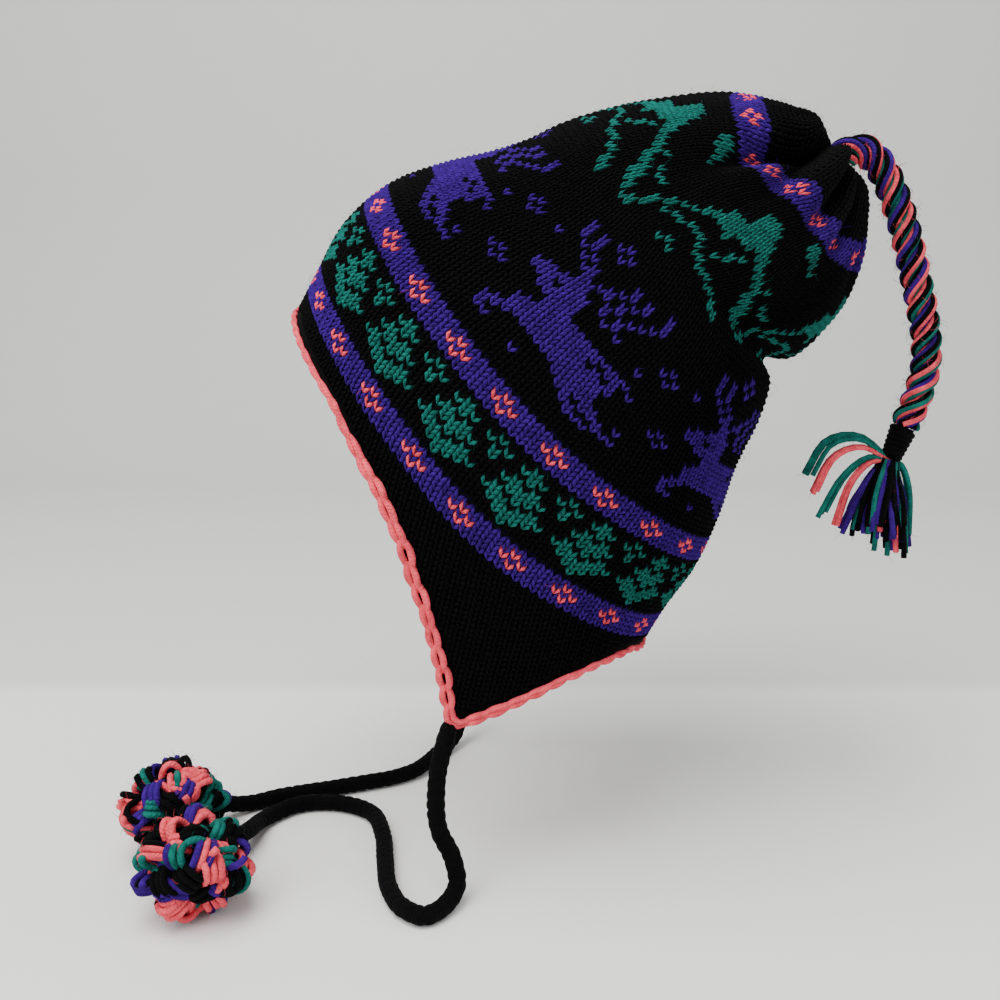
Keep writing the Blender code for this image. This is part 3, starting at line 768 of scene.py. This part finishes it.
def knit_piece(name, first_row, last_row, yarns, chance):
    """A band of knitting: two plump leaf-shaped legs for each stitch, leaning apart into a V.

    Each leg is a four-sided tube of three sections whose ends sink behind the rows below and above.
    """
    stitch, row = stitch_list(first_row, last_row)
    colour = yarn_of(stitch, row)
    count, steps = len(stitch), len(LEG_UP)
    nudge = chance.normal(0, 1, (3, count, 1, 1)) * np.reshape(LEG_UNEVEN, (3, 1, 1, 1))
    side = np.array([-1.0, 1.0])[None, :, None]
    crowd = np.clip(on_cloth("width", stitch, row)[:, :, None] / STITCH_WIDTH, THINNEST_LEG, 1.0)
    middle = stitch[:, None, None] + side * np.array(LEG_OUT) + nudge[0]
    level = row[:, None, None] + np.array(LEG_UP) + nudge[1]
    wide = np.array(LEG_HALF_WIDTH)
    thick = np.array(LEG_HALF_THICK) * crowd
    height = np.array(LEG_HEIGHT) * crowd + nudge[2]
    columns = np.stack([middle + wide, middle, middle - wide, middle], axis=-1)
    lifts = np.stack([height, height + thick, height, height - thick], axis=-1)
    levels = np.broadcast_to(level[..., None], columns.shape)
    points = on_cloth("points", columns, levels) + on_cloth("normals", columns, levels) * lifts[..., None]
    first = (np.arange(count * 2) * steps * 4)[:, None, None]
    quads = (grid_quads(steps, 4)[None] + first).reshape(-1, 4)
    caps = (np.array([[3, 2, 1, 0], [8, 9, 10, 11]])[None] + first).reshape(-1, 4)
    run = np.array([0.0, 0.8, 1.6])[:, None] + chance.random((count, 2, 1, 1)) * 3
    uv = grid_uv(np.array([0.5, 1.0, 1.5, 0.0]), run)
    finish_of = [np.repeat(colour, 16), np.repeat(colour, 4)]
    return make_object(name, points.reshape(-1, 3), [quads, caps], yarns, finish_of, uv)


def shell_backing(yarns):
    """The cloth behind the stitches: an outer face in each stitch's yarn and an inner face of floats.

    Its rings are the rim and the flaps, the knitted rows and a pole on each face at the gathered top.
    """
    around = np.arange(STITCHES) + NAPE_STITCH - 0.5
    column = np.arange(STITCHES)
    drops = np.linspace(1, 0, FLAP_RINGS)[:-1]
    rows = np.concatenate([np.arange(RIM_ROWS, KNIT_ROWS - 1), [KNIT_ROWS - 1.4]])
    reach = edge_reach(around)
    levels = [RIM_ROWS - drop * reach for drop in drops] + [np.full(STITCHES, row) for row in rows]
    grid = np.stack([on_cloth("points", around, level) for level in levels])
    normal = np.stack([on_cloth("normals", around, level) for level in levels])
    rings = len(levels)
    outer = grid - normal * BACKING_DEEP
    ring_rows = np.concatenate([np.zeros(len(drops)), rows])[:, None]
    checker = (np.arange(rings)[:, None] + column) % 2
    slim = np.clip((KNIT_ROWS - ring_rows) / 14, 0.25, 1)
    inner = grid - normal * ((WALL - FLOAT_THICK * checker) * slim)[..., None]
    count = rings * STITCHES
    line = np.array([0, math.cos(CROWN_RISE), math.sin(CROWN_RISE)]) * 0.5 * MM
    poles = [outer[-1].mean(axis=0) + line, inner[-1].mean(axis=0) - line]
    points = np.concatenate([outer.reshape(-1, 3), inner.reshape(-1, 3), poles])
    quads = grid_quads(rings, STITCHES)
    after = (column + 1) % STITCHES
    edge = np.stack([column, count + column, count + after, after], axis=-1)
    last = count - STITCHES
    pole = np.full(STITCHES, 2 * count)
    fan = np.stack([last + column, last + after, pole], axis=-1)
    inner_fan = np.stack([count + last + after, count + last + column, pole + 1], axis=-1)
    by_row = yarn_of(column[None, :] + NAPE_STITCH, ring_rows[:-1].astype(int))
    contrast = by_row.max(axis=1, keepdims=True)
    float_colours = np.where((by_row == BLACK) & (checker[:-1] == 0), contrast, BLACK)
    rim_colours = np.zeros(STITCHES, int)
    finish_of = [by_row.ravel(), float_colours.ravel(), rim_colours, rim_colours, rim_colours]
    uv = grid_uv(column, ring_rows)
    uv = np.concatenate([uv, uv, [[0, 0], [0, 0]]])
    faces = [quads, quads[:, ::-1] + count, edge, fan, inner_fan]
    return make_object("knit_shell", points, faces, yarns, finish_of, uv)


def edge_reach(stitch):
    """How many rows below the stripes each wale meets the cap's edge."""
    return 1 / np.maximum(on_cloth("share", stitch, np.full(stitch.shape, RIM_ROWS - 1.0))[:, 0], 1e-6)


def edge_line():
    """The cap's edge as a closed loop of points, with the ways out of the cloth and down from it.

    The last value is the share of the way from the forehead to the nape.
    """
    around = np.arange(NAPE_STITCH, NAPE_STITCH + STITCHES + 0.25, 0.25)
    level = RIM_ROWS - edge_reach(around)
    outer = on_cloth("points", around, level)
    thick = on_cloth("normals", around, level)
    ring = outer[:-1]
    along = np.roll(ring, -1, axis=0) - np.roll(ring, 1, axis=0)
    away = unit(np.cross(thick, np.concatenate([along, along[:1]])))
    inward = on_cloth("points", around, level + 1.5)
    away *= np.sign(((outer - inward) * away).sum(axis=1, keepdims=True))
    return outer, thick, away, mirrored((around + from_table(RIM_ROWS, WALE_LEAN)) / STITCHES)


def edge_chain(yarns, chance):
    """Crochet edge: a row of chain loops on each face of the rim, round a black core.

    Each loop is a teardrop: two strands leave a point, bow apart and meet inside the next loop.
    """
    outer, thick, away, way_round = edge_line()
    length = run_along(outer)
    total = length[-1]
    links = round(total / CHAIN_PITCH)
    openness = from_table(way_round, CHAIN_OPEN)
    share = np.linspace(0, 1, 9)
    bow = np.sin(np.pi * np.clip(share * 0.97 + 0.03, 0, 1)) ** 0.75
    lines, radii = [], []
    for face in (0, 1):
        for strand in (-1, 1):
            run = (np.arange(links)[:, None] + 0.5 * face + share * CHAIN_REACH) * total / links % total
            point, out, down = (
                np.stack([np.interp(run, length, part[:, axis]) for axis in range(3)], axis=-1)
                for part in (outer, thick, away)
            )
            width = np.interp(run, length, openness) * chance.uniform(0.62, 1.2, (links, 1))
            drop = EDGE_DROP * (0.72 - 0.2 * width) + strand * CHAIN_HALF_WIDTH * bow * width
            lift = 0.6 + 0.9 * np.sin(np.pi * share) - 0.8 * share + 0.4 * strand * np.sin(2 * np.pi * share)
            lift = -WALL - lift * MM if face else lift * MM
            lines.append(point + down * drop[..., None] + out * lift[:, None])
            swell = (0.75 + 0.25 * np.sin(np.pi * share)) * (0.58 + 0.42 * np.clip(width * 1.2, 0, 1))
            radii.append(CHAIN_YARN * swell)
    points, faces, uv = tubes(np.concatenate(lines), np.concatenate(radii), 7)
    edge = make_object("edge_chain", points, faces, [yarns[CORAL]], None, uv)
    heart = (outer - thick * WALL / 2 + away * EDGE_DROP * 0.42)[:-1, None, :]
    angle = 2 * np.pi * np.arange(10) / 10
    spoke = circle(angle, thick[:-1, None, :] * WALL * 0.62, away[:-1, None, :] * EDGE_DROP * 0.48)
    quads = grid_quads(len(heart) + 1, 10) % (len(heart) * 10)
    core = make_object("edge_core", (heart + spoke).reshape(-1, 3), [quads], [yarns[BLACK]])
    return edge, core


def flap_tip(side):
    """Lowest point of a flap's edge: side is 1 for the left ear and -1 for the right."""
    outer = rim_points(np.array([FLAP_TIP_AT if side > 0 else 1 - FLAP_TIP_AT]))[0]
    low = np.array([0, -math.sin(FLAP_LEAN), -math.cos(FLAP_LEAN)])
    return outer - np.array([side * WALL / 2, 0, 0]) + low * (GAP + EDGE_DROP)


def smooth_route(points, count):
    """Evenly spaced points on one smooth curve through a cord's chosen points."""
    points = np.array(points, float)
    knots = run_along(points)
    at = np.linspace(0, knots[-1], count)
    return np.stack([smooth(at, knots, points[:, axis]) for axis in range(3)], axis=1)


def carried_frame(path):
    """Directions square to a path that turn as little as they can along it."""
    tangent = unit(np.gradient(path, axis=0))
    side = np.cross(tangent[0], (0.0, 0.6, 0.8))
    sides = []
    for way in tangent:
        side = unit(side - way * np.dot(side, way))
        sides.append(side)
    return np.array(sides), np.cross(tangent, sides)


def tie_cord(side_name, route, centre, yarns):
    """Knitted tie: a round tube whose surface rises into five wales of small slanting stitches.

    Its radius swells with the sine of the place in each stitch, along the tie and across its wale.
    """
    start = flap_tip(1 if side_name == "left" else -1) + np.array([0, 0, TIE_TUCK - 2 * GAP])
    toward = unit(np.array(route[-1]) - np.array(centre))
    end = np.array(centre) + toward * (POMPOM_RADIUS * POMPOM_SEAT + 1.5 * GAP)
    path = smooth_route([start, *route, end], TIE_RINGS)
    side, other = carried_frame(path)
    run = run_along(path)[:, None]
    angle = 2 * np.pi * np.arange(TIE_SIDES) / TIE_SIDES
    wale = (angle * TIE_WALES / (2 * np.pi) - run / TIE_TWIST) % 1
    rise = (run / TIE_STITCH + 0.55 * np.abs(wale - 0.5) * 2) % 1
    plump = np.sin(np.pi * rise) ** 0.5 * np.sin(np.pi * (wale * 2 % 1)) ** 0.4
    slim = 0.42 + 0.58 * np.sin(np.clip(run / TIE_SWELL, 0, 1) * np.pi / 2)
    radius = TIE_DIAMETER / 2 * (0.84 + 0.20 * plump) * slim
    points = path[:, None, :] + radius[..., None] * circle(angle, side[:, None, :], other[:, None, :])
    ring = np.arange(TIE_SIDES)
    faces = [grid_quads(TIE_RINGS, TIE_SIDES), ring[::-1][None], (ring + (TIE_RINGS - 1) * TIE_SIDES)[None]]
    uv = grid_uv(angle / np.pi, run / YARN_UV)
    tie = make_object("tie_yarn_" + side_name, points.reshape(-1, 3), faces, [yarns[BLACK]], None, uv)
    dress(tie, ["tie_" + side_name])
    return tie


def spread_directions(count):
    """Unit directions spread evenly over a sphere along a golden spiral."""
    turn = np.arange(count) * GOLDEN_TURN
    height = 1 - 2 * (np.arange(count) + 0.5) / count
    ring = np.sqrt(1 - height**2)
    return np.stack([ring * np.cos(turn), ring * np.sin(turn), height], axis=1)


def pompom_yarn(side_name, centre, yarns, chance):
    """Pompom: flat loops of three strands that rise from a round heart, bend over and go back in.

    A loop's height is a sine of the way along it and its swing a cosine. A few strands are cut and stand out
    as loose ends.
    """
    centre = np.array(centre)
    loops = POMPOM_LOOPS + POMPOM_ENDS
    way = spread_directions(POMPOM_LOOPS) + chance.normal(0, 0.16, (POMPOM_LOOPS, 3))
    way = unit(np.concatenate([way, chance.normal(0, 1, (POMPOM_ENDS, 3)) * (1, 1, 0.5)]))
    tilt = unit(np.cross(way, chance.normal(0, 1, (loops, 3))))
    beside = np.cross(way, tilt)
    share = np.linspace(0, 1, 13)
    cut = (np.arange(loops) >= POMPOM_LOOPS)[:, None]
    reach = POMPOM_RADIUS * (0.77 + 0.28 * chance.random((loops, 1)))
    width = (3.6 + 3.2 * chance.random((loops, 1))) * MM
    base = POMPOM_RADIUS * 0.45
    rise = np.where(cut, 1.2 * np.sin(np.pi / 2 * share), np.sin(np.pi * share) ** 0.85)
    height = base + (reach - POMPOM_YARN - base) * rise
    swing = np.where(cut, width * 0.9 * share**2, -width * np.cos(np.pi * share))
    lines, colours = [], []
    loop_colours = chance.choice(MIXED, loops, p=POMPOM_SHARES)
    for strand in range(POMPOM_STRANDS):
        step = (strand - (POMPOM_STRANDS - 1) / 2) * POMPOM_YARN * 1.5
        bulge = 1 + 0.25 * np.sin(np.pi * share)
        shift = chance.normal(0, 0.25 * MM, (loops, 1)) + step * bulge
        lift = chance.normal(0, 0.45 * MM, (loops, 1)) + height
        line = centre + way[:, None, :] * lift[..., None] + tilt[:, None, :] * swing[..., None]
        lines.append(line + beside[:, None, :] * shift[..., None])
        other = chance.choice(MIXED, loops, p=POMPOM_SHARES)
        colours.append(np.where(chance.random(loops) < 0.2, other, loop_colours))
    kept = np.tile(np.arange(loops) < POMPOM_LOOPS, POMPOM_STRANDS)
    kept[:loops] = True
    lines, colours = np.concatenate(lines)[kept], np.concatenate(colours)[kept]
    lines[..., 2] = FLOOR + (lines[..., 2] - FLOOR) * POMPOM_SLUMP
    lines[..., 2] = np.maximum(lines[..., 2], FLOOR + POMPOM_YARN)
    node = "pompom_" + side_name
    bunch = yarn_piece("pompom_loops_" + side_name, lines, POMPOM_YARN, 6, colours, yarns, node)
    ball = bmesh.new()
    bmesh.ops.create_icosphere(ball, subdivisions=3, radius=POMPOM_RADIUS * POMPOM_CORE)
    bmesh.ops.translate(ball, verts=ball.verts, vec=tuple(centre))
    ball.verts.index_update()
    corners = np.array([vert.co for vert in ball.verts])
    faces = [np.array([[vert.index for vert in face.verts] for face in ball.faces])]
    ball.free()
    heart = make_object("pompom_heart_" + side_name, corners, faces, [yarns[BLACK]])
    dress(heart, [node])
    roots = lines[:, 3:10].reshape(-1, 3)
    picked = chance.integers(0, len(roots), POMPOM_FIBRES)
    roots, root_colours = roots[picked], np.repeat(colours, 7)[picked]
    name = "pompom_fuzz_" + side_name
    hairs = fuzz(name, roots, roots - centre, root_colours, yarns, node, chance)
    return bunch, heart, hairs


def top_cord(yarns, chance):
    """Twisted top cord: seven yarns to a ply, each a helix round its ply, and three plies round the cord."""
    line = np.array([0, math.cos(CROWN_RISE), math.sin(CROWN_RISE)])
    apex = base_surface(np.arange(64) / 64, np.full(64, GATHERED_ROW)).mean(axis=0)
    path = smooth_route([apex + line * TOP_CORD_SEAT, *TOP_CORD_ROUTE], CORD_STEPS)
    side, other = carried_frame(path)
    run = run_along(path)
    lines = []
    for ply in range(CORD_PLIES):
        turn = 2 * np.pi * (run / CORD_PITCH + ply / CORD_PLIES)
        out, over = circle(turn, side, other), circle(turn + np.pi / 2, side, other)
        for yarn in range(CORD_YARNS_EACH):
            own = 2 * np.pi * (yarn / CORD_YARNS_EACH - run / YARN_PITCH)
            lines.append(path + TOP_CORD_DIAMETER * (PLY_OUT * out + YARN_OUT * circle(own, out, over)))
    lines = np.array(lines)
    colours = np.array(CORD_COLOURS)
    cord = yarn_piece("top_cord_yarn", lines, CORD_YARN, 6, colours, yarns, "top_cord")
    picked = chance.integers(0, len(lines), CORD_FIBRES)
    step = chance.integers(2, len(path), CORD_FIBRES)
    roots = lines[picked, step]
    hairs = fuzz(
        "top_cord_fuzz", roots, roots - path[step], colours[picked], yarns, "top_cord", chance
    )
    return cord


def cord_binding(start, line, yarns):
    """Binding: black yarn wound tightly round the cord's end in a narrowing helix over a plain core."""
    side = np.array([1.0, 0, 0])
    share = np.linspace(0, 1, BINDING_TURNS * 20 + 1)
    turn = 2 * np.pi * BINDING_TURNS * share
    radius = (BINDING_TOP + (BINDING_FOOT - BINDING_TOP) * share) / 2 - BINDING_YARN * 0.85
    path = start + line * (BINDING_YARN + (BINDING_LONG - 2 * BINDING_YARN) * share)[:, None]
    path = path + radius[:, None] * circle(turn, side, np.cross(line, side))
    core = start + line * (BINDING_LONG * (0.04 + 0.92 * share))[:, None]
    points, faces, uv = tubes(path[None], BINDING_YARN, 8)
    more, more_faces, more_uv = tubes(core[None], radius[None], 12)
    faces = faces + [part + len(points) for part in more_faces]
    points, uv = np.concatenate([points, more]), np.concatenate([uv, more_uv])
    piece = make_object("cord_binding_yarn", points, faces, [yarns[BLACK]], None, uv)
    return dress(piece, ["cord_binding"])


def tassel_yarn(start, line, yarns, chance):
    """Tassel: cut yarn ends that fan out below the binding, some of them arching away from the rest.

    A hanging strand leaves along the cord's line, turns down soon and spreads with a sine of its length.
    """
    side = np.array([1.0, 0, 0])
    turn = np.arange(TASSEL_STRANDS) * GOLDEN_TURN
    place = np.sqrt((np.arange(TASSEL_STRANDS) + 0.5) / TASSEL_STRANDS)[:, None]
    out = circle(turn, side, np.cross(line, side))
    share = np.linspace(0, 1, 11)
    rising = share[:, None]
    long = TASSEL_LONG * (0.68 + 0.30 * chance.random(TASSEL_STRANDS))
    opening = BINDING_FOOT / 2 * 0.8 + (TASSEL_HANG - BINDING_FOOT / 2) * np.sin(share * np.pi / 2) ** 1.3
    way = unit(line * (1 - rising**0.3) + np.array([0, 0, -1.0]) * rising**0.3)
    steps = np.concatenate([np.zeros((1, 3)), way[1:] / (len(share) - 1)])
    middle = start + np.cumsum(steps, axis=0) * long[:, None, None]
    wobble = chance.normal(0, 1, (TASSEL_STRANDS, 1, 3)) * rising**1.5 * 2.2 * MM
    curl = np.sin(rising * 5) * chance.normal(0, 1.1, (TASSEL_STRANDS, 1, 3)) * MM * rising
    lines = [middle + out[:, None, :] * (opening * place)[..., None] + wobble + curl]
    colours = [chance.choice(MIXED, TASSEL_STRANDS, p=TASSEL_SHARES)]
    for arc in TASSEL_ARCS:
        ways = np.reshape((0, 0, *arc[1:]), (4, 2)) * MM
        forward, up = (smooth(share, (0, 1 / 3, 2 / 3, 1), ways[:, axis]) for axis in (0, 1))
        for strand in range(ARC_STRANDS):
            shift = np.array([(strand - 1) * 1.5 * MM, 0, 0]) + chance.normal(0, 0.5, 3) * MM
            at = start + np.stack([0 * share, -forward, up], axis=1) * (0.9 + 0.12 * chance.random())
            lines.append((at + shift * (0.4 + 0.6 * rising))[None])
            colours.append(np.array([arc[0]]))
    lines, colours = np.concatenate(lines), np.concatenate(colours)
    picked = chance.integers(0, len(lines), TASSEL_FIBRES)
    step = chance.integers(2, len(share), TASSEL_FIBRES)
    hairs = fuzz(
        "tassel_fuzz", lines[picked, step], chance.normal(0, 1, (TASSEL_FIBRES, 3)), colours[picked], yarns,
        "tassel", chance,
    )
    radii = TASSEL_YARN * (1 + 0.12 * share)
    return yarn_piece("tassel_yarn", lines, radii, 6, colours, yarns, "tassel"), hairs


def fuzz(name, roots, ways, colours, yarns, node, chance, thick=TRIM_FIBRE):
    """Loose fibres: thin tapering hairs that leave the yarn, lean over and curl.

    A hair rises with a sine of its length, leans in proportion to it and curls with its square.
    """
    count = len(roots)
    ways = unit(ways)
    lean = unit(np.cross(ways, chance.normal(0, 1, (count, 3))))
    bend = np.cross(ways, lean)
    share = np.linspace(0, 1, FIBRE_STEPS)[:, None]
    long = ((1.6 + 3.6 * chance.random(count)) * MM)[:, None, None]
    rise = chance.uniform(0.25, 0.8, (count, 1, 1))
    curl = chance.normal(0, 0.35, (count, 1, 1))
    lines = roots[:, None, :] + long * (
        ways[:, None, :] * rise * np.sin(share * 2.0)
        + lean[:, None, :] * share * (1 - 0.4 * rise)
        + bend[:, None, :] * curl * share**2
    )
    return yarn_piece(name, lines, thick * (1 - 0.6 * share[:, 0]), 3, colours, yarns, node)


def knit_fuzz(yarns, chance):
    """Fibres rooted all over the knitted face, each in its stitch's yarn."""
    row = chance.uniform(LOWEST_FIBRE, KNIT_ROWS - 2, KNIT_FIBRES * 2)
    stitch = chance.uniform(NAPE_STITCH, NAPE_STITCH + STITCHES, KNIT_FIBRES * 2)
    kept = (on_cloth("share", stitch, row)[:, 0] < FIBRE_SHARE) & (chance.random(len(row)) < FIBRE_CHANCE)
    row, stitch = row[kept][:KNIT_FIBRES], stitch[kept][:KNIT_FIBRES]
    roots = on_cloth("points", stitch, row)
    ways = on_cloth("normals", stitch, row)
    colours = yarn_of(np.round(stitch).astype(int), np.floor(row).astype(int))
    return fuzz("knit_fuzz", roots, ways, colours, yarns, "crown", chance, KNIT_FIBRE)


def camera():
    """The photograph's place: level with the brow on the left side, tipped a little down."""
    data = bpy.data.cameras.new("camera")
    data.lens = CAMERA_LENS
    data.sensor_width = 36
    view = bpy.data.objects.new("camera", data)
    view.location = CAMERA_PLACE
    view.rotation_euler = [math.radians(angle) for angle in CAMERA_TURN]
    bpy.context.scene.collection.objects.link(view)
    bpy.context.scene.camera = view


def paper_material():
    """Matt paper, painted lighter on the table than on the wall that rises behind it: the table's tone is
    painted top light and the wall's tone is painted shade.
    """
    made = bpy.data.materials.new("paper with painted light")
    made.use_nodes = True
    tree = made.node_tree
    surface = tree.nodes["Principled BSDF"]
    place = add_node(tree, "ShaderNodeTexCoord").outputs["Object"]
    across = add_node(tree, "ShaderNodeSeparateXYZ", {"Vector": place}).outputs["X"]
    near = add_node(
        tree,
        "ShaderNodeMapRange",
        {"Value": across, "From Min": TABLE_EDGE - TABLE_BLUR, "From Max": TABLE_EDGE + TABLE_BLUR},
        interpolation_type="SMOOTHSTEP",
    )
    painted_light_ramp = add_node(tree, "ShaderNodeValToRGB", {"Fac": near.outputs["Result"]})
    # Painted shade on the wall's side of the edge and painted top light on the table's side.
    painted_light_ramp.color_ramp.elements[0].color = (*linear(WALL_SHADE_HEX), 1)
    painted_light_ramp.color_ramp.elements[1].color = (*linear(TABLE_LIT_HEX), 1)
    tree.links.new(painted_light_ramp.outputs["Color"], surface.inputs["Base Color"])
    surface.inputs["Roughness"].default_value = 0.9
    return made


def studio():
    """Pale floor that curves up into a backdrop, a soft top light, two softer side lights and a grey sky."""
    bend = np.linspace(0, math.pi / 2, 24)
    out = np.concatenate([[BACKDROP_FRONT, BACKDROP_MIDDLE], BACKDROP_FOOT - BACKDROP_BEND * np.sin(bend)])
    up = np.concatenate([[FLOOR, FLOOR], FLOOR + BACKDROP_BEND * (1 - np.cos(bend))])
    out, up = np.append(out, BACKDROP_FOOT - BACKDROP_BEND), np.append(up, BACKDROP_TOP)
    across = np.array([-BACKDROP_HALF, BACKDROP_HALF])
    points = np.stack(np.broadcast_arrays(out[:, None], across, up[:, None]), axis=-1).reshape(-1, 3)
    make_object("floor", points, [grid_quads(len(out), 2, closed=False)], [paper_material()])
    for name, place, turn, power, size in LIGHTS:
        data = bpy.data.lights.new(name, "AREA")
        data.energy = power
        data.size = size
        lamp = bpy.data.objects.new(name, data)
        lamp.location = place
        lamp.rotation_euler = [math.radians(angle) for angle in turn]
        bpy.context.scene.collection.objects.link(lamp)
    world = bpy.data.worlds.new("soft grey")
    world.use_nodes = True
    world.node_tree.nodes["Background"].inputs["Color"].default_value = SKY
    world.node_tree.nodes["Background"].inputs["Strength"].default_value = SKY_STRENGTH
    bpy.context.scene.world = world


def main():
    """Camera, yarns and cords first, then the knitting, its edge and the room."""
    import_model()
    chance = np.random.default_rng(SEED)
    camera()
    yarns = [yarn_material(*yarn) for yarn in zip(YARN_NAMES, YARN_HEX, YARN_SHEEN)]

    for side_name, centre in (("left", POMPOM_LEFT), ("right", POMPOM_RIGHT)):
        pompom_yarn(side_name, centre, yarns, chance)
    tie_cord("left", TIE_LEFT_ROUTE, POMPOM_LEFT, yarns)
    tie_cord("right", TIE_RIGHT_ROUTE, POMPOM_RIGHT, yarns)
    cord_end = np.array(TOP_CORD_ROUTE[-1])
    cord_way = unit(cord_end - np.array(TOP_CORD_ROUTE[-2]))
    binding = cord_binding(cord_end + cord_way * GAP, cord_way, yarns)
    tassel = tassel_yarn(cord_end + cord_way * (BINDING_LONG + 2 * GAP), cord_way, yarns, chance)
    top_cord(yarns, chance)

    for name, first, last in KNIT_BANDS:
        dress(knit_piece(name, first, last, yarns, chance), ["crown"])
    dress(shell_backing(yarns), ["crown"])
    knit_fuzz(yarns, chance)
    for piece in edge_chain(yarns, chance):
        dress(piece, ["edging"])
    studio()


main()
